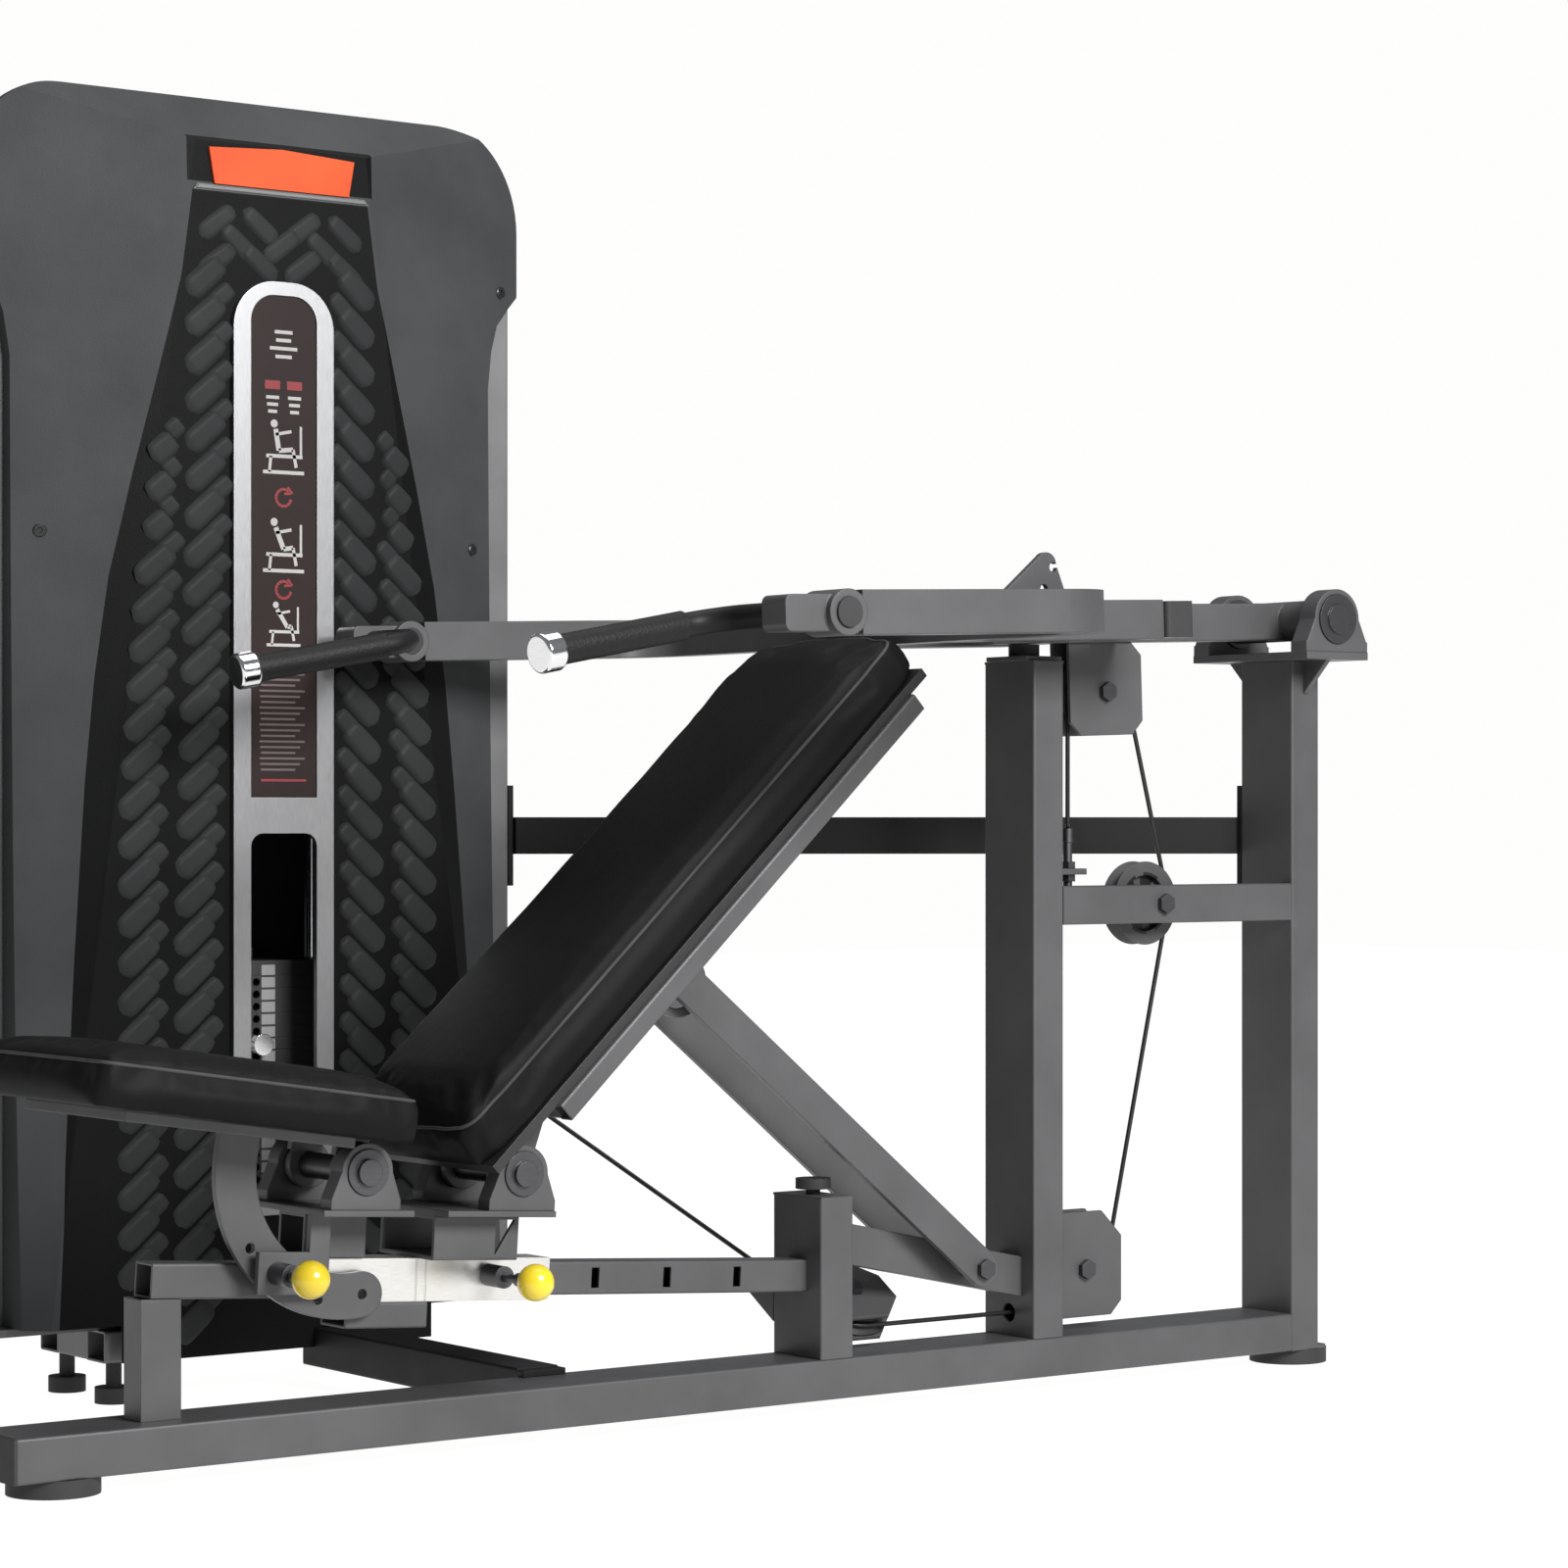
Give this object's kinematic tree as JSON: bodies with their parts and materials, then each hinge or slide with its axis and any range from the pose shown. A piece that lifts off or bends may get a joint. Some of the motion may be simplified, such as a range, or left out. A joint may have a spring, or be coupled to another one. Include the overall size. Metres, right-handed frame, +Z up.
{
  "type": "multi press machine",
  "caption": "Gym press machine: pivoting arm with a two-legged handle yoke, sliding bench with tilting backrest and seat, cable over guide pulleys to a covered weight stack",
  "frame": {"origin": "centre of the machine's footprint on the floor", "axes": "X along the bench from the seat to the rear pivot, Y from the bench to the weight tower, Z up"},
  "size_m": [1.969, 1.255, 1.664],
  "materials": {
    "frame_paint": "satin",
    "black_paint": "satin",
    "steel": "brushed",
    "chrome": "polished",
    "alu": "anodised",
    "rubber": "matte",
    "vinyl": "satin",
    "shell_plastic": "matte",
    "pulley_plastic": "matte",
    "cable_jacket": "gloss",
    "iron": "painted",
    "badge": "gloss",
    "knob": "gloss",
    "grip": "matte",
    "placard": "gloss"
  },
  "bodies": {
    "machine_frame": {"axle_bolts": "steel", "base_rail": "frame_paint", "cable_anchor_run": "cable_jacket", "cable_guide_run": "cable_jacket", "cable_main_run": "cable_jacket", "cable_stack_run": "cable_jacket", "guide_rods": "chrome", "header_badge": "badge", "levelling_feet": "rubber", "link_beam": "frame_paint", "middle_upright": "frame_paint", "pivot_housings": "frame_paint", "pivot_plate": "frame_paint", "pivot_shaft": "steel", "placard_panel": "placard", "placard_trim": "alu", "pulley_brackets": "frame_paint", "rear_upright": "frame_paint", "resting_plates": "iron", "rubber_stops": "rubber", "slide_posts": "frame_paint", "slide_tube": "black_paint", "tower_brace": "frame_paint", "tower_cross_member": "frame_paint", "tower_frame": "frame_paint", "tower_front_cover": "shell_plastic", "tower_rear_cover": "shell_plastic", "upright_crossbeam": "frame_paint"},
    "press_arm": {"arm_lever": "frame_paint", "arm_sector_plate": "steel", "arm_shafts": "steel", "arm_pulley_bracket": "frame_paint", "cable_arm_loop": "cable_jacket"},
    "yoke": {"arm_yoke": "frame_paint", "yoke_caps": "grip", "handle_bars": "black_paint", "handle_grips": "grip", "handle_caps": "chrome"},
    "yoke_pin": {"yoke_spring_pin": "steel"},
    "arm_wheel": {"arm_pulley": "pulley_plastic"},
    "guide_wheel": {"guide_pulley": "pulley_plastic"},
    "lower_wheel": {"lower_pulley": "pulley_plastic"},
    "floor_wheel": {"floor_pulley": "pulley_plastic"},
    "tower_base_wheel": {"tower_base_pulley": "pulley_plastic"},
    "tower_outer_wheel": {"tower_top_pulley_outer": "pulley_plastic"},
    "tower_inner_wheel": {"tower_top_pulley_inner": "pulley_plastic"},
    "stack": {"lifted_stack": "iron"},
    "pin": {"selector_pin": "chrome"},
    "carriage": {"carriage_sleeve": "alu", "carriage_stands": "frame_paint", "bench_housings": "frame_paint", "bench_shafts": "steel"},
    "backrest": {"backrest_frame": "frame_paint", "backrest_cushion": "vinyl"},
    "strut": {"backrest_strut": "frame_paint"},
    "seat": {"seat_frame": "frame_paint", "seat_cushion": "vinyl"},
    "slide_pin_body": {"slide_pin": "knob"},
    "seat_pin_body": {"seat_pin": "knob"}
  },
  "joints": [
    {"name": "press_arm_hinge", "type": "hinge", "parent": "machine_frame", "child": "press_arm", "pos_m": [0.9175, -0.1325, 1.004], "axis": [0, 1, 0], "range_deg": [0, 35], "deforming": ["cable_anchor_run", "cable_guide_run"]},
    {"name": "yoke_angle", "type": "hinge", "parent": "press_arm", "child": "yoke", "pos_m": [0.58271, -0.1325, 0.99207], "axis": [0, 1, 0], "range_deg": [0, 32]},
    {"name": "yoke_pin_pull", "type": "slide", "parent": "yoke", "child": "yoke_pin", "axis": [0, -1, 0], "range_m": [0, 0.01]},
    {"name": "arm_pulley_spin", "type": "hinge", "parent": "press_arm", "child": "arm_wheel", "pos_m": [0.58949, -0.1325, 0.90296], "axis": [0, 1, 0], "range_deg": [-277.3, 0]},
    {"name": "guide_pulley_spin", "type": "hinge", "parent": "machine_frame", "child": "guide_wheel", "pos_m": [0.6635, -0.1325, 0.6255], "axis": [0, 1, 0], "range_deg": [-477.5, 0]},
    {"name": "lower_pulley_spin", "type": "hinge", "parent": "machine_frame", "child": "lower_wheel", "pos_m": [0.5535, -0.1325, 0.15], "axis": [0, 1, 0], "range_deg": [-477.5, 0]},
    {"name": "floor_pulley_spin", "type": "hinge", "parent": "machine_frame", "child": "floor_wheel", "pos_m": [0.21094, -0.08997, 0.12628], "axis": [0, -0.5257, 0.8507], "range_deg": [0, 477.5]},
    {"name": "tower_base_pulley_spin", "type": "hinge", "parent": "machine_frame", "child": "tower_base_wheel", "pos_m": [-0.09004, 0.46188, 0.52471], "axis": [-0.9125, -0.4092, 0], "range_deg": [0, 477.5]},
    {"name": "tower_outer_pulley_spin", "type": "hinge", "parent": "machine_frame", "child": "tower_outer_wheel", "pos_m": [-0.1605, 0.5075, 1.56], "axis": [0, 1, 0], "range_deg": [0, 477.5]},
    {"name": "tower_inner_pulley_spin", "type": "hinge", "parent": "machine_frame", "child": "tower_inner_wheel", "pos_m": [-0.2805, 0.5075, 1.56], "axis": [0, 1, 0], "range_deg": [0, 477.5]},
    {"name": "stack_lift", "type": "slide", "parent": "machine_frame", "child": "stack", "axis": [0, 0, 1], "range_m": [0, 0.4171], "deforming": ["cable_stack_run"]},
    {"name": "selector_pin_pull", "type": "slide", "parent": "stack", "child": "pin", "axis": [0, -1, 0], "range_m": [0, 0.0403]},
    {"name": "carriage_slide", "type": "slide", "parent": "machine_frame", "child": "carriage", "axis": [0.9982, 0, -0.0593], "range_m": [0, 0.155]},
    {"name": "backrest_tilt", "type": "hinge", "parent": "carriage", "child": "backrest", "pos_m": [-0.35755, -0.1325, 0.32578], "axis": [0, -1, 0], "range_deg": [0, 21.5]},
    {"name": "strut_swing", "type": "hinge", "parent": "machine_frame", "child": "strut", "pos_m": [0.3505, -0.1325, 0.167], "axis": [0, -1, 0], "range_deg": [-10, 0]},
    {"name": "seat_tilt", "type": "hinge", "parent": "carriage", "child": "seat", "pos_m": [-0.56638, -0.1325, 0.33818], "axis": [0, 1, 0], "range_deg": [0, 14]},
    {"name": "slide_pin_pull", "type": "slide", "parent": "carriage", "child": "slide_pin_body", "axis": [0, -1, 0], "range_m": [0, 0.01]},
    {"name": "seat_pin_pull", "type": "slide", "parent": "carriage", "child": "seat_pin_body", "axis": [0, -1, 0], "range_m": [0, 0.01]}
  ],
  "couplings": [
    {"joint": "arm_pulley_spin", "follows": "press_arm_hinge", "ratio": -7.779},
    {"joint": "guide_pulley_spin", "follows": "press_arm_hinge", "ratio": -13.558},
    {"joint": "lower_pulley_spin", "follows": "press_arm_hinge", "ratio": -13.558},
    {"joint": "floor_pulley_spin", "follows": "press_arm_hinge", "ratio": 13.558},
    {"joint": "tower_base_pulley_spin", "follows": "press_arm_hinge", "ratio": 13.558},
    {"joint": "tower_outer_pulley_spin", "follows": "press_arm_hinge", "ratio": 13.558},
    {"joint": "tower_inner_pulley_spin", "follows": "press_arm_hinge", "ratio": 13.558},
    {"joint": "stack_lift", "follows": "press_arm_hinge", "m_per_rad": 0.6779},
    {"joint": "backrest_tilt", "follows": "carriage_slide", "rad_per_m": 2.35},
    {"joint": "strut_swing", "follows": "carriage_slide", "rad_per_m": -1.058}
  ]
}
